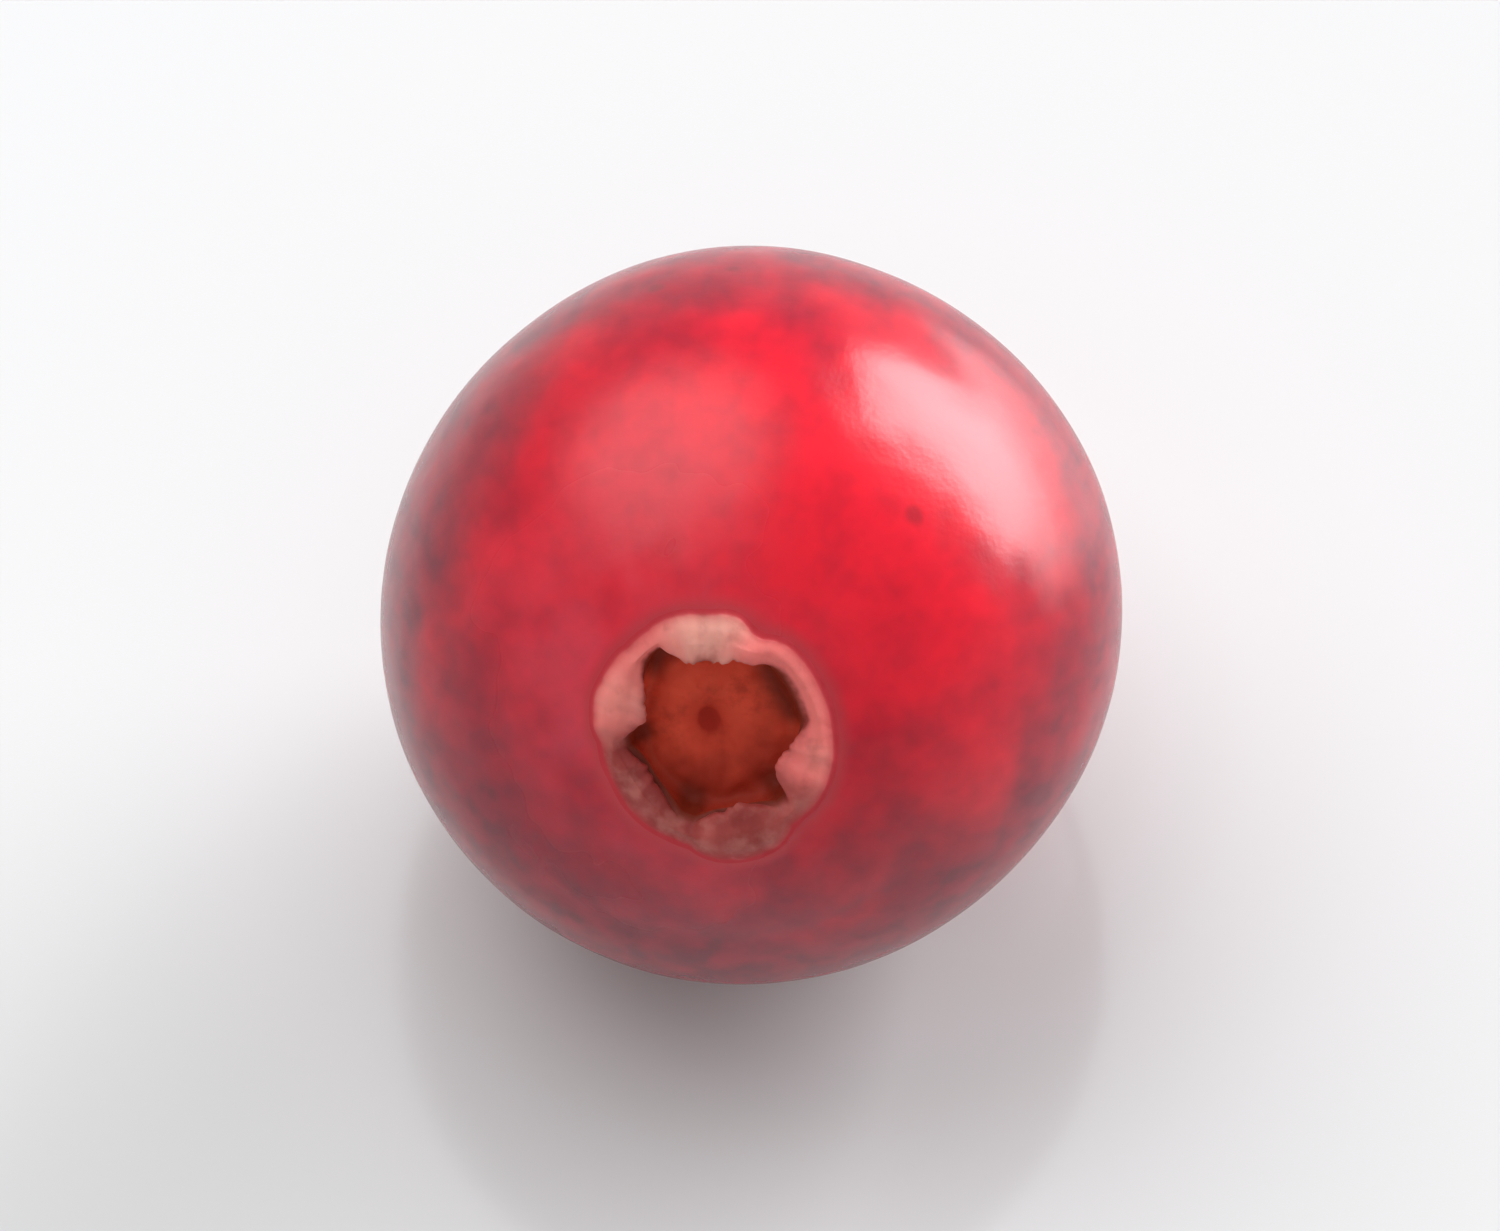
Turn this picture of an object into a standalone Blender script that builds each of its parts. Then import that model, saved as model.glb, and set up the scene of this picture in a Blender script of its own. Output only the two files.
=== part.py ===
"""A fresh cranberry, in one piece, resting on a small flat spot.

Units are metres and +Z is up. The origin is the middle of the flat spot, under
the berry's weight. Seen from the front, along +Y, the calyx end faces the
viewer and leans upwards, and the stem end is behind and low.

The skin is one closed surface turned about the line from the stem to the
calyx. Its outline changes on the way round at the calyx only, where five
lobes fold in over a basin, with a notch between each two of them.
"""

import math

import bmesh
import bpy
from mathutils import Matrix, Vector

MM = 0.001

# The berry
WIDTH = 17.0 * MM
LENGTH = 17.2 * MM

# Where the calyx end points: up from the level, and left of the viewer
CALYX_RISE = math.radians(42.2)
CALYX_LEFT = math.radians(7.8)

# The flat spot that it rests on
FLAT_RADIUS = 1.6 * MM

# The calyx, measured out from its own middle
BASIN_DEPTH = 0.90 * MM
BASIN_RADIUS = 1.88 * MM
COLLAR_RADIUS = 2.42 * MM
COLLAR_EDGE = 0.22 * MM
COLLAR_LIP = 0.06 * MM
LOBE_THICKNESS = 0.62 * MM
SCAR_RADIUS = 0.38 * MM
SCAR_DEPTH = 0.12 * MM
DISC_SWELL = 0.10 * MM
CALYX_EDGE = 3.60 * MM

# The whole calyx is oval, and drawn out a little towards the lower right
CALYX_OVAL = 0.06
CALYX_STRETCH = 0.14
CALYX_STRETCH_TOWARDS = math.radians(285)
# The style's scar is a little off the middle of the basin
STYLE_DRIFT = 0.27 * MM
STYLE_DRIFT_TOWARDS = math.radians(213)

# Each lobe: the notch before it and the notch after it, in degrees
# anticlockwise from the viewer's right, how far its tip stays from the middle,
# how high its back stands over the collar, how far its tip dips under its
# back (below 0, the tip stands higher), how far it spreads over the skin
# outside the collar, how much its tip leans (above 0 towards the notch before
# it, below 0 the one after it), and how blunt it is
LOBES = (
    (17, 128, 1.70 * MM, 0.26 * MM, -0.10 * MM, 0.02 * MM, -0.45, 3.0),
    (128, 194, 1.66 * MM, 0.26 * MM, 0.08 * MM, 0.16 * MM, -0.35, 2.4),
    (194, 256, 1.86 * MM, 0.16 * MM, 0.10 * MM, 0.06 * MM, 0.10, 2.2),
    (256, 312, 1.72 * MM, 0.18 * MM, 0.06 * MM, 0.26 * MM, 0.05, 2.6),
    (312, 377, 1.60 * MM, 0.24 * MM, 0.12 * MM, 0.04 * MM, 0.40, 2.4),
)
# Above 1 a notch has a floor of its own, and higher makes it wider
NOTCH_WIDTH = 1.15

# Where the collar's outer edge and the basin's wall stand out (above 0) or in:
# where round the calyx in degrees, how wide in degrees, and how much
EDGE_WAVES = (
    (64, 9, -0.16 * MM),
    (128, 22, 0.14 * MM),
    (212, 10, -0.08 * MM),
)
WALL_WAVES = (
    (22, 26, -0.14 * MM),
    (128, 15, 0.24 * MM),
    (195, 18, -0.04 * MM),
)

# The stem end
DIMPLE_RADIUS = 1.75 * MM
DIMPLE_DEPTH = 0.20 * MM
STEM_SCAR_RADIUS = 0.62 * MM
STEM_SCAR_LIP = 0.09 * MM
STEM_SCAR_DEPTH = 0.30 * MM

# The fruit is not a true ball: each swelling is a share of the width, the
# number of times that it comes round, and the turn at which it is highest
SWELLINGS = (
    (0.008, 2, math.radians(35)),
    (0.004, 3, math.radians(110)),
    (0.003, 4, math.radians(10)),
)

# How finely the surface is laid out
MERIDIANS = 80
BODY_RINGS = 26
RINGS_PER_SPAN = 2

# Finish of each region of the berry: colour as linear RGB, and roughness. The
# scar tissue is the basin's lining, its disc, and the stem's scar
FINISHES = (
    ("Cranberry skin", (0.50, 0.010, 0.024), 0.22),
    ("Calyx lobes", (0.62, 0.25, 0.20), 0.55),
    ("Dry scar tissue", (0.28, 0.036, 0.018), 0.60),
)
SKIN, LOBE, SCAR = range(len(FINISHES))
# With less of a lobe than this, scar tissue lines the wall nearly to its top
BARE_SHARE = 0.3


def clear_scene():
    """Remove whatever the file holds."""
    for item in list(bpy.data.objects):
        bpy.data.objects.remove(item, do_unlink=True)


def finish(name, colour, roughness):
    """Return a plain material for one region of the berry."""
    material = bpy.data.materials.new(name)
    material.use_nodes = True
    shader = material.node_tree.nodes["Principled BSDF"]
    shader.inputs["Base Color"].default_value = (*colour, 1.0)
    shader.inputs["Roughness"].default_value = roughness
    shader.inputs["Metallic"].default_value = 0.0
    material.diffuse_color = (*colour, 1.0)
    return material


def skin_height(radius):
    """Return how high over the berry's middle the plain skin is."""
    return LENGTH / 2 * math.sqrt(1 - (radius / (WIDTH / 2)) ** 2)


def meridians():
    """Return each meridian's angle, lobe, and share of a full lobe there.

    The meridians are shared out so that every notch has one of its own.
    """
    rows = []
    for lobe in LOBES:
        before, after, *_, lean, blunt = lobe
        count = round(MERIDIANS * (after - before) / 360)
        for step in range(count):
            across = 2 * step / count - 1
            across += lean * (1 - across ** 2)
            angle = math.radians(before + (after - before) * step / count)
            share = max(0.0, 1 - abs(NOTCH_WIDTH * across) ** blunt)
            rows.append((angle, lobe, share))
    return rows


def wave(angle, listed):
    """Return how far a list of waves stands out at this angle."""
    total = 0.0
    for middle, width, most in listed:
        away = math.remainder(math.degrees(angle) - middle, 360) / width
        total += most * math.exp(-away ** 2)
    return total


def calyx_stations(lobe, share, angle):
    """Return the calyx's outline at one meridian, from its middle outwards.

    Each station is a radius, a height and the finish of the skin up to it. In
    a notch share is 0 and the outline goes straight from the basin's wall over
    a low collar. In a lobe it turns in over the basin and comes back on top.
    """
    _, _, tip, rise, dip, spread, _, _ = lobe
    upper_wall = LOBE if share > BARE_SHARE else SCAR
    edge_wave = wave(angle, EDGE_WAVES)
    spread += edge_wave
    collar = skin_height(COLLAR_RADIUS)
    floor = collar - BASIN_DEPTH
    back = collar + rise
    under = back - LOBE_THICKNESS

    def station(region, notch, lobe=None):
        """Mix the notch's point and the lobe's point."""
        lobe = lobe or notch
        return (
            notch[0] + (lobe[0] - notch[0]) * share,
            notch[1] + (lobe[1] - notch[1]) * share,
            region,
        )

    wall = BASIN_RADIUS + wave(angle, WALL_WAVES)
    bank = COLLAR_RADIUS - wall
    thin = LOBE_THICKNESS
    reach = wall - tip
    edge = COLLAR_RADIUS + COLLAR_EDGE + 0.4 * edge_wave
    spread_edge = edge + spread
    return (
        station(SCAR, (0.0, floor - SCAR_DEPTH)),
        station(SCAR, (SCAR_RADIUS, floor)),
        station(SCAR, (0.45 * wall, floor + DISC_SWELL)),
        station(SCAR, (0.74 * wall, floor + 0.4 * DISC_SWELL)),
        station(SCAR, (0.90 * wall, floor)),
        station(SCAR, (wall + 0.10 * bank, floor + 0.2 * BASIN_DEPTH),
                (wall, floor + 0.2 * BASIN_DEPTH)),
        station(SCAR, (wall + 0.22 * bank, floor + 0.5 * BASIN_DEPTH),
                (wall + 0.02 * thin, floor + 0.45 * BASIN_DEPTH)),
        station(SCAR, (wall + 0.38 * bank, floor + 0.75 * BASIN_DEPTH),
                (wall - 0.35 * reach, under - 0.35 * dip)),
        station(upper_wall, (wall + 0.52 * bank, floor + 0.88 * BASIN_DEPTH),
                (tip + 0.20 * thin, under - dip + 0.06 * thin)),
        station(upper_wall, (wall + 0.66 * bank, floor + 0.97 * BASIN_DEPTH),
                (tip, under - dip + 0.45 * thin)),
        station(LOBE, (wall + 0.80 * bank, collar + 0.4 * COLLAR_LIP),
                (tip + 0.20 * thin, under - dip + 0.88 * thin)),
        station(LOBE, (wall + 0.92 * bank, collar + COLLAR_LIP),
                (wall - 0.30 * reach, back - 0.3 * dip)),
        station(LOBE, (COLLAR_RADIUS, collar + 0.9 * COLLAR_LIP),
                (COLLAR_RADIUS - 0.10 * thin + 0.5 * spread, back - 0.2 * rise)),
        station(LOBE, (edge, skin_height(edge) + 0.4 * COLLAR_LIP),
                (spread_edge, skin_height(spread_edge) + 0.3 * rise)),
        station(SKIN, (CALYX_EDGE, skin_height(CALYX_EDGE))),
    )


def body_stations():
    """Return the plain skin's outline, from the calyx to the stem's dimple."""
    start = math.asin(CALYX_EDGE / (WIDTH / 2))
    end = math.pi - math.asin(DIMPLE_RADIUS / (WIDTH / 2))
    rows = []
    for ring in range(1, BODY_RINGS + 1):
        turn = start + (end - start) * ring / BODY_RINGS
        radius = WIDTH / 2 * math.sin(turn)
        rows.append((radius, LENGTH / 2 * math.cos(turn), SKIN))
    return rows


def stem_stations():
    """Return the stem end's outline, from the dimple's edge to its middle."""
    edge = -skin_height(DIMPLE_RADIUS)
    deep = edge + DIMPLE_DEPTH
    scar = STEM_SCAR_RADIUS
    return (
        (0.72 * DIMPLE_RADIUS, edge - 0.2 * DIMPLE_DEPTH, SKIN),
        (1.35 * scar, deep - 0.15 * DIMPLE_DEPTH, SKIN),
        (scar, deep - STEM_SCAR_LIP, SCAR),
        (0.70 * scar, deep, SCAR),
        (0.0, deep + STEM_SCAR_DEPTH, SCAR),
    )


def smooth_path(stations, steps):
    """Return points on a smooth curve through the stations.

    It is a Catmull-Rom curve, with its ends doubled. Each point keeps the
    finish of the station that it leads to.
    """
    points = [Vector((radius, height)) for radius, height, _ in stations]
    points = [points[0], *points, points[-1]]
    path = [(points[1], stations[0][2])]
    for index in range(1, len(points) - 2):
        before, start, end, after = points[index - 1:index + 3]
        for step in range(1, steps + 1):
            t = step / steps
            point = 0.5 * (
                2 * start
                + (end - before) * t
                + (2 * before - 5 * start + 4 * end - after) * t ** 2
                + (3 * start - before - 3 * end + after) * t ** 3
            )
            path.append((point, stations[index][2]))
    return path


def outline(lobe, share, angle):
    """Return the whole outline at one meridian, calyx first."""
    rows = [(Vector(row[:2]), row[2]) for row in body_stations()]
    calyx = smooth_path(calyx_stations(lobe, share, angle), RINGS_PER_SPAN)
    stem = smooth_path((body_stations()[-1], *stem_stations()), RINGS_PER_SPAN)
    return calyx + rows + stem[1:]


def surface_point(radius, height, angle):
    """Return a point of the skin, with the fruit's uneven growth in it."""
    bulge = radius / (WIDTH / 2)
    swell = 1.0
    drift = 0.0
    for share, times, highest in SWELLINGS:
        swell += share * bulge ** 2 * math.cos(times * (angle - highest))
    if height > 0:
        near_calyx = max(0.0, 1 - radius / (1.6 * CALYX_EDGE))
        turn = angle - CALYX_STRETCH_TOWARDS
        swell += CALYX_STRETCH * near_calyx * math.cos(turn)
        swell += CALYX_OVAL * near_calyx * math.cos(2 * turn)
        drift = STYLE_DRIFT * max(0.0, 1 - radius / BASIN_RADIUS)
    return Vector((
        radius * swell * math.cos(angle) + drift * math.cos(STYLE_DRIFT_TOWARDS),
        radius * swell * math.sin(angle) + drift * math.sin(STYLE_DRIFT_TOWARDS),
        height,
    ))


def berry_mesh():
    """Return the berry's closed mesh, its calyx at +Z and its middle at 0."""
    mesh = bmesh.new()
    columns = []
    finishes = []
    for angle, lobe, share in meridians():
        rows = outline(lobe, share, angle)
        finishes.append([region for _, region in rows])
        columns.append([
            mesh.verts.new(surface_point(point.x, point.y, angle))
            for point, _ in rows[1:-1]
        ])
    first, last = rows[0][0], rows[-1][0]
    calyx_middle = mesh.verts.new(surface_point(0.0, first.y, 0.0))
    stem_middle = mesh.verts.new(surface_point(0.0, last.y, 0.0))

    for here, there, regions in zip(columns, columns[1:] + columns[:1], finishes):
        face = mesh.faces.new((calyx_middle, here[0], there[0]))
        face.material_index = regions[1]
        for ring in range(len(here) - 1):
            face = mesh.faces.new((here[ring], here[ring + 1], there[ring + 1], there[ring]))
            face.material_index = regions[ring + 2]
        face = mesh.faces.new((here[-1], stem_middle, there[-1]))
        face.material_index = regions[-1]
    bmesh.ops.triangulate(mesh, faces=mesh.faces[:])
    return mesh


def lay_down(mesh):
    """Turn the berry so that its calyx end points the way it lies."""
    flat = math.cos(CALYX_RISE)
    axis = Vector((
        -flat * math.sin(CALYX_LEFT),
        -flat * math.cos(CALYX_LEFT),
        math.sin(CALYX_RISE),
    ))
    right = Vector((1, 0, 0))
    right = (right - axis * right.dot(axis)).normalized()
    up = axis.cross(right)
    turn = Matrix((right, up, axis)).transposed()
    bmesh.ops.transform(mesh, matrix=turn.to_4x4(), verts=mesh.verts)


def centre_of_volume(mesh):
    """Return where a solid berry of this shape would balance."""
    volume = 0.0
    moment = Vector()
    for face in mesh.faces:
        a, b, c = (vert.co for vert in face.verts)
        part = a.dot(b.cross(c)) / 6
        volume += part
        moment += part * (a + b + c) / 4
    return moment / volume


def press_flat(mesh):
    """Press the underside flat below the middle of the weight, at z = 0."""
    balance = centre_of_volume(mesh)
    lowest = min(vert.co.z for vert in mesh.verts)
    half = WIDTH / 2
    level = lowest + half - math.sqrt(half ** 2 - FLAT_RADIUS ** 2)
    for vert in mesh.verts:
        vert.co.x -= balance.x
        vert.co.y -= balance.y
        vert.co.z = max(vert.co.z - level, 0.0)


def build_cranberry():
    """Make the berry's object."""
    mesh = berry_mesh()
    lay_down(mesh)
    press_flat(mesh)
    data = bpy.data.meshes.new("cranberry")
    mesh.to_mesh(data)
    mesh.free()
    for name, colour, roughness in FINISHES:
        data.materials.append(finish(name, colour, roughness))
    data.shade_smooth()
    data.set_sharp_from_angle(angle=math.radians(50))
    berry = bpy.data.objects.new("cranberry", data)
    bpy.context.scene.collection.objects.link(berry)
    return berry


clear_scene()
build_cranberry()
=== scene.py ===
# %% [markdown]
# # A fresh cranberry, seen close up
#
# A cranberry is a round fruit about 17 mm across. Its skin is thin, smooth and
# waxy, and dark red in itself. The flesh under it is pale and full of air, so
# light goes a little way in, scatters and comes out cherry red. One end shows
# where the flower was: a shallow brown basin, with five small dry lobes folded
# in over it like a star. The other end has the small round scar of the stalk.
#
# The solid berry is loaded first. It is a plain mesh with the right size and
# place. Everything that this lesson makes is laid over it in the same metres,
# so a new mesh fits without any moving about.

import math
from collections import namedtuple

import bmesh
import bpy
from mathutils import Matrix, Vector, noise


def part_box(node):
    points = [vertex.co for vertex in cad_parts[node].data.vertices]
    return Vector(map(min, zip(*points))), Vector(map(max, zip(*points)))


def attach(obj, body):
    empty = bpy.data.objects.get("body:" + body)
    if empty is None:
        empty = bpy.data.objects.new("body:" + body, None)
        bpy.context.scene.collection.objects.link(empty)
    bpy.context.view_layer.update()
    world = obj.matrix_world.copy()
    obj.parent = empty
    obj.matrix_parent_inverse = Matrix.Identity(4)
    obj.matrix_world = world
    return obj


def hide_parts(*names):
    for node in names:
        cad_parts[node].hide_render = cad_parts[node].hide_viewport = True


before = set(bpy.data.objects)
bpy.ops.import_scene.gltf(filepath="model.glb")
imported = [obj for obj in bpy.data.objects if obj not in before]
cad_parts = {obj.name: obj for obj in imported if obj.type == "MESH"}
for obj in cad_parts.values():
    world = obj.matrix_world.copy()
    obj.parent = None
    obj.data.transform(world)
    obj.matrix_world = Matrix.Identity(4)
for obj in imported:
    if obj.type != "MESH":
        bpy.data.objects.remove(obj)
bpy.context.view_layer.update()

# %% [markdown]
# ## Real sizes
#
# Sizes are written in millimetres, as a ruler would give them, and turned into
# metres once. The berry's width and length are those of the solid berry. Each
# further size comes where it is first needed.

# %% Sizes of the berry
MM = 0.001

WIDTH = 17.0 * MM
LENGTH = 17.2 * MM
print(f"berry {WIDTH / MM:.1f} mm wide and {LENGTH / MM:.1f} mm long")

# %% [markdown]
# ## The calyx lobes
#
# Each of the five lobes is a flap between two notches of the collar, and the
# notches are given in degrees round the calyx. The lobes differ as they do on
# any real berry, so they are listed one by one. The tip is how near the lobe
# comes to the middle, the rise is how high its back stands, the dip is how far
# its tip hangs, and the spread is how far it covers the skin outside. The lean
# is how far its tip is pulled to one side, and a blunt lobe keeps its full
# length nearly to its sides.

# %% The five lobes
Lobe = namedtuple("Lobe", "before after tip rise dip spread lean blunt")
LOBES = (
    Lobe(17, 128, 1.70 * MM, 0.26 * MM, -0.10 * MM, 0.02 * MM, -0.45, 3.0),
    Lobe(128, 194, 1.66 * MM, 0.26 * MM, 0.08 * MM, 0.16 * MM, -0.35, 2.4),
    Lobe(194, 256, 1.86 * MM, 0.16 * MM, 0.10 * MM, 0.06 * MM, 0.10, 2.2),
    Lobe(256, 312, 1.72 * MM, 0.18 * MM, 0.06 * MM, 0.26 * MM, 0.05, 2.6),
    Lobe(312, 377, 1.60 * MM, 0.24 * MM, 0.12 * MM, 0.04 * MM, 0.40, 2.4),
)
# Above 1 a notch has a floor of its own, and higher makes it wider
NOTCH_WIDTH = 1.15
MERIDIANS = 260


def meridians():
    """Return each meridian's angle, lobe, and share of a full lobe there."""
    rows = []
    for lobe in LOBES:
        turn = lobe.after - lobe.before
        count = round(MERIDIANS * turn / 360)
        for step in range(count):
            across = 2 * step / count - 1
            across += lobe.lean * (1 - across ** 2)
            angle = math.radians(lobe.before + turn * step / count)
            share = max(0.0, 1 - abs(NOTCH_WIDTH * across) ** lobe.blunt)
            rows.append((angle, lobe, share))
    return rows


print("meridians round the berry:", len(meridians()))

# %% [markdown]
# ## Nothing grows evenly
#
# The collar bulges in some places whatever the lobes do, so its bulges are soft
# spots of their own. Drying then makes everything ragged, and that is noise.
# Noise read along a straight line would not meet itself after one turn round
# the calyx. Read along a circle, it does, and a wider circle passes more of
# the noise's hills, so it gives more waves.

# %% Unevenness round the calyx
# Where round the collar in degrees, how wide in degrees, and how much
EDGE_WAVES = ((64, 9, -0.16 * MM), (128, 22, 0.14 * MM), (212, 10, -0.08 * MM))
UNEVEN_EDGE = 0.05 * MM


def spots(angle, listed):
    """Return the sum of the soft spots in a list at this angle."""
    total = 0.0
    for middle, width, most in listed:
        away = math.remainder(math.degrees(angle) - middle, 360) / width
        total += most * math.exp(-away ** 2)
    return total


def wobble(angle, circle, seed):
    """Return a smooth uneven value from -1 to 1 that closes after one turn."""
    return noise.noise(Vector((math.cos(angle) * circle, math.sin(angle) * circle, seed)))


def edge_wave(angle):
    """Return how far the collar's outer edge stands out at this angle."""
    return spots(angle, EDGE_WAVES) + UNEVEN_EDGE * wobble(angle, 3.0, seed=5.0)


waves = [edge_wave(math.radians(degrees)) / MM for degrees in range(360)]
print(f"collar's edge, mm in and out: {min(waves):.2f} to {max(waves):.2f}")

# %% [markdown]
# ## The outline of one slice
#
# Cut a berry through its two ends and the cut edge is one line: down into the
# style's scar, over the swollen disc, up the basin's wall, in along the
# underside of a lobe to its tip, back over the top, and then round the plain
# skin to the stalk's scar. A notch has the same line without the flap. So each
# station of the line is written twice, as a radius and a height in a notch and
# in a full lobe, and a slice in between mixes the two. That makes thin flaps
# that hang over the basin, which a height map could not do.
#
# First come the radii and heights on which a slice's stations hang. They change
# on the way round.

# %% Measure one slice
BASIN_DEPTH = 0.90 * MM
BASIN_RADIUS = 1.88 * MM
COLLAR_RADIUS = 2.42 * MM
COLLAR_EDGE = 0.22 * MM
WALL_WAVES = ((22, 26, -0.14 * MM), (128, 15, 0.24 * MM), (195, 18, -0.04 * MM))
# How much of the edge's wave a bare notch has
NOTCH_WAVE = 0.4
UNEVEN_TIP, RAGGED_TIP = 0.10 * MM, 0.07 * MM
UNEVEN_RISE, UNEVEN_DIP = 0.40, 0.60

Slice = namedtuple("Slice", "tip rise dip spread wall edge floor collar back")


def skin_height(radius):
    """Return how high over the berry's middle the plain skin is."""
    return LENGTH / 2 * math.sqrt(1 - (radius / (WIDTH / 2)) ** 2)


def measure_slice(lobe, angle):
    """Return the calyx's radii and heights at one meridian."""
    ragged = UNEVEN_TIP * wobble(angle, 4.5, seed=1.0)
    ragged += RAGGED_TIP * wobble(angle, 13.0, seed=2.0)
    rise = lobe.rise * (1 + UNEVEN_RISE * wobble(angle, 5.0, seed=3.0))
    wave = edge_wave(angle)
    collar = skin_height(COLLAR_RADIUS)
    return Slice(
        tip=lobe.tip + ragged,
        rise=rise,
        dip=lobe.dip * (1 + UNEVEN_DIP * wobble(angle, 6.0, seed=4.0)),
        spread=lobe.spread + wave,
        wall=BASIN_RADIUS + spots(angle, WALL_WAVES),
        edge=COLLAR_RADIUS + COLLAR_EDGE + NOTCH_WAVE * wave,
        floor=collar - BASIN_DEPTH,
        collar=collar,
        back=collar + rise,
    )


cut = measure_slice(LOBES[0], 0.0)
print(f"first slice, mm: wall at {cut.wall / MM:.2f}, collar's edge at {cut.edge / MM:.2f}")

# %% [markdown]
# The basin's floor is the pit of the style's scar and, round it, the disc that
# is still a little swollen. It is the same under a lobe and in a notch, so its
# stations are written once.

# %% Stations of the basin
SCAR_RADIUS = 0.36 * MM
SCAR_DEPTH = 0.09 * MM
DISC_SWELL = 0.10 * MM


def basin_stations(cut):
    """Return the stations from the middle to the foot of the wall."""
    wall, floor = cut.wall, cut.floor
    return (
        ((0.0, floor - SCAR_DEPTH), None),
        ((0.6 * SCAR_RADIUS, floor - 0.8 * SCAR_DEPTH), None),
        ((SCAR_RADIUS, floor - 0.1 * SCAR_DEPTH), None),
        ((0.45 * wall, floor + DISC_SWELL), None),
        ((0.74 * wall, floor + 0.6 * DISC_SWELL), None),
        ((0.91 * wall, floor + 0.2 * DISC_SWELL), None),
    )


print("stations of the basin:", len(basin_stations(cut)))

# %% [markdown]
# In a notch the wall goes on up to the collar. Under a lobe it stops at the
# root, and the line turns inwards along the underside to the tip.

# %% Stations of the wall and the underside
LOBE_THICKNESS = 0.62 * MM


def wall_stations(cut):
    """Return the stations up the wall, and along the underside to the tip."""
    wall, floor, tip = cut.wall, cut.floor, cut.tip
    bank = COLLAR_RADIUS - wall
    hang = cut.back - cut.dip
    thick, deep = LOBE_THICKNESS, BASIN_DEPTH
    return (
        ((wall + 0.09 * bank, floor + 0.20 * deep), (wall, floor + 0.20 * deep)),
        ((wall + 0.23 * bank, floor + 0.48 * deep),
         (wall + 0.04 * thick, floor + 0.42 * deep)),
        ((wall + 0.34 * bank, floor + 0.70 * deep),
         (wall - 0.10 * thick, cut.back - 0.95 * thick)),
        ((wall + 0.48 * bank, floor + 0.84 * deep),
         (tip + 0.30 * thick, hang - 0.62 * thick)),
        ((wall + 0.60 * bank, floor + 0.91 * deep),
         (tip, hang - 0.34 * thick)),
    )


print("stations of the wall:", len(wall_stations(cut)))

# %% [markdown]
# From the tip the line goes back over the lobe's top and down onto the skin. In
# a notch it only rounds the collar's low lip. The last station is on the plain
# skin, where no lobe reaches.

# %% Stations of the top and the edge
COLLAR_LIP = 0.06 * MM
COLLAR_FOOT = 0.16 * MM
CALYX_EDGE = 3.60 * MM
# What keeps two stations from falling together at a lobe's end
CLEAR = 0.02 * MM


def top_stations(cut):
    """Return the stations back over a lobe's top and out to the plain skin."""
    tip, rise, dip, spread, wall, edge, floor, collar, back = cut
    bank = COLLAR_RADIUS - wall
    far = edge + spread
    thick, deep, foot = LOBE_THICKNESS, BASIN_DEPTH, COLLAR_FOOT
    return (
        ((wall + 0.69 * bank, floor + 0.95 * deep),
         (tip + 0.10 * thick, back - dip - 0.04 * thick)),
        ((wall + 0.80 * bank, collar),
         (0.5 * (tip + COLLAR_RADIUS), back - 0.5 * dip)),
        ((wall + 0.92 * bank, collar + 0.8 * COLLAR_LIP),
         (COLLAR_RADIUS - 0.34 * thick + 0.4 * spread, back)),
        ((COLLAR_RADIUS + CLEAR, collar + COLLAR_LIP),
         (COLLAR_RADIUS + 0.8 * spread, back - 0.36 * rise)),
        ((edge, skin_height(edge) + 0.4 * COLLAR_LIP),
         (far, skin_height(far) + 0.32 * rise)),
        ((edge + foot, skin_height(edge + foot)),
         (far + foot, skin_height(far + foot) + CLEAR)),
        ((CALYX_EDGE, skin_height(CALYX_EDGE)), None),
    )


print("stations of the top:", len(top_stations(cut)))

# %% [markdown]
# A slice is all notch, all lobe or something between, and its share of a full
# lobe says how far each station goes from its first place to its second. The
# stations are counted from the middle, and the ones that matter later get names.

# %% Mix notch and lobe


def calyx_stations(lobe, share, angle):
    """Return the calyx's outline at one meridian, from its middle outwards."""
    cut = measure_slice(lobe, angle)
    line = []
    for notch, flap in (*basin_stations(cut), *wall_stations(cut), *top_stations(cut)):
        notch = Vector(notch)
        line.append(notch.lerp(Vector(flap), share) if flap else notch)
    return line


CALYX_SPANS = len(calyx_stations(LOBES[0], 1.0, 0.0)) - 1
# The foot of the wall, and a lobe's root, tip and foot
WALL, LOBE_ROOT, LOBE_TIP, LOBE_FOOT = 6, 8, 10, 16
print("spans from the calyx's middle to the plain skin:", CALYX_SPANS)

# %% [markdown]
# ## The plain skin and the stalk's end
#
# The plain skin is nearly a ball, so its rings come from sine and cosine. The
# stalk's end is a shallow dimple with a small scar, and five stations are
# enough for it.

# %% Stations of the skin and the stalk's scar
BODY_RINGS = 84
DIMPLE_RADIUS = 1.75 * MM
DIMPLE_DEPTH = 0.20 * MM
STEM_SCAR_RADIUS = 0.62 * MM
STEM_SCAR_LIP = 0.09 * MM
STEM_SCAR_DEPTH = 0.30 * MM


def body_stations():
    """Return the plain skin's outline, from the calyx to the stalk's dimple."""
    start = math.asin(CALYX_EDGE / (WIDTH / 2))
    end = math.pi - math.asin(DIMPLE_RADIUS / (WIDTH / 2))
    turns = [start + (end - start) * ring / BODY_RINGS for ring in range(1, BODY_RINGS + 1)]
    return [
        Vector((WIDTH / 2 * math.sin(turn), LENGTH / 2 * math.cos(turn)))
        for turn in turns
    ]


def stem_stations():
    """Return the stalk end's outline, from the dimple's edge to its middle."""
    edge = -skin_height(DIMPLE_RADIUS)
    deep = edge + DIMPLE_DEPTH
    scar = STEM_SCAR_RADIUS
    return [
        Vector((0.72 * DIMPLE_RADIUS, edge - 0.2 * DIMPLE_DEPTH)),
        Vector((1.35 * scar, deep - 0.15 * DIMPLE_DEPTH)),
        Vector((scar, deep - STEM_SCAR_LIP)),
        Vector((0.70 * scar, deep)),
        Vector((0.0, deep + STEM_SCAR_DEPTH)),
    ]


print("stations of the skin and the stalk:", len(body_stations()), len(stem_stations()))

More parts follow.
